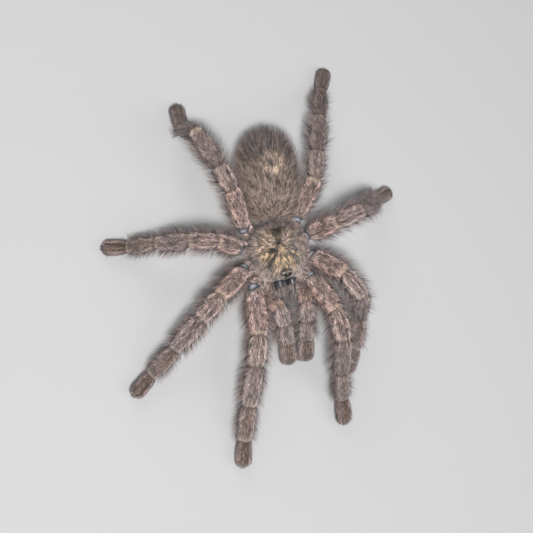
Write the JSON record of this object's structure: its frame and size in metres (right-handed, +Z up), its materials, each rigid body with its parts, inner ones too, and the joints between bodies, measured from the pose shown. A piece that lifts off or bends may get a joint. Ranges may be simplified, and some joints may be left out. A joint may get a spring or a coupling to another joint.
{
  "type": "tarantula",
  "caption": "Life-size still model of a large brown tree tarantula, legs spread on a level floor, with a dense coat, a streaked carapace and an oval abdomen.",
  "frame": {"origin": "on the floor, under the middle of the animal's outline box", "axes": "-Y the way the head points, +X the animal's left, +Z up"},
  "size_m": [0.118, 0.1438, 0.0254],
  "materials": {
    "coat": "dense pinkish grey-brown hair",
    "carapace": "flat olive-brown hair with golden streaks",
    "abdomen": "short brown hair",
    "tubercle": "dark glossy horn",
    "dark_eye": "wet black lens",
    "pearl_eye": "wet pearly lens",
    "fang": "polished black horn"
  },
  "bodies": {
    "root": {"carapace": "carapace", "eye_tubercle": "tubercle", "eye_front_middle_left": "dark_eye", "eye_front_middle_right": "dark_eye", "eye_front_side_left": "pearl_eye", "eye_front_side_right": "pearl_eye", "eye_rear_side_left": "pearl_eye", "eye_rear_side_right": "pearl_eye", "eye_rear_middle_left": "pearl_eye", "eye_rear_middle_right": "pearl_eye", "sternum": "coat", "chelicera_left": "coat", "chelicera_right": "coat", "fang_left": "fang", "fang_right": "fang", "pedicel": "coat", "abdomen": "abdomen", "spinneret_left": "abdomen", "spinneret_right": "abdomen", "palp_left_femur": "coat", "palp_left_tibia": "coat", "palp_left_tarsus": "coat", "palp_right_femur": "coat", "palp_right_tibia": "coat", "palp_right_tarsus": "coat", "leg_1_left_femur": "coat", "leg_1_left_tibia": "coat", "leg_1_left_metatarsus": "coat", "leg_1_left_tarsus": "coat", "leg_1_right_femur": "coat", "leg_1_right_tibia": "coat", "leg_1_right_metatarsus": "coat", "leg_1_right_tarsus": "coat", "leg_2_left_femur": "coat", "leg_2_left_tibia": "coat", "leg_2_left_metatarsus": "coat", "leg_2_left_tarsus": "coat", "leg_2_right_femur": "coat", "leg_2_right_tibia": "coat", "leg_2_right_metatarsus": "coat", "leg_2_right_tarsus": "coat", "leg_3_left_femur": "coat", "leg_3_left_tibia": "coat", "leg_3_left_metatarsus": "coat", "leg_3_left_tarsus": "coat", "leg_3_right_femur": "coat", "leg_3_right_tibia": "coat", "leg_3_right_metatarsus": "coat", "leg_3_right_tarsus": "coat", "leg_4_left_femur": "coat", "leg_4_left_tibia": "coat", "leg_4_left_metatarsus": "coat", "leg_4_left_tarsus": "coat", "leg_4_right_femur": "coat", "leg_4_right_tibia": "coat", "leg_4_right_metatarsus": "coat", "leg_4_right_tarsus": "coat"}
  },
  "joints": []
}
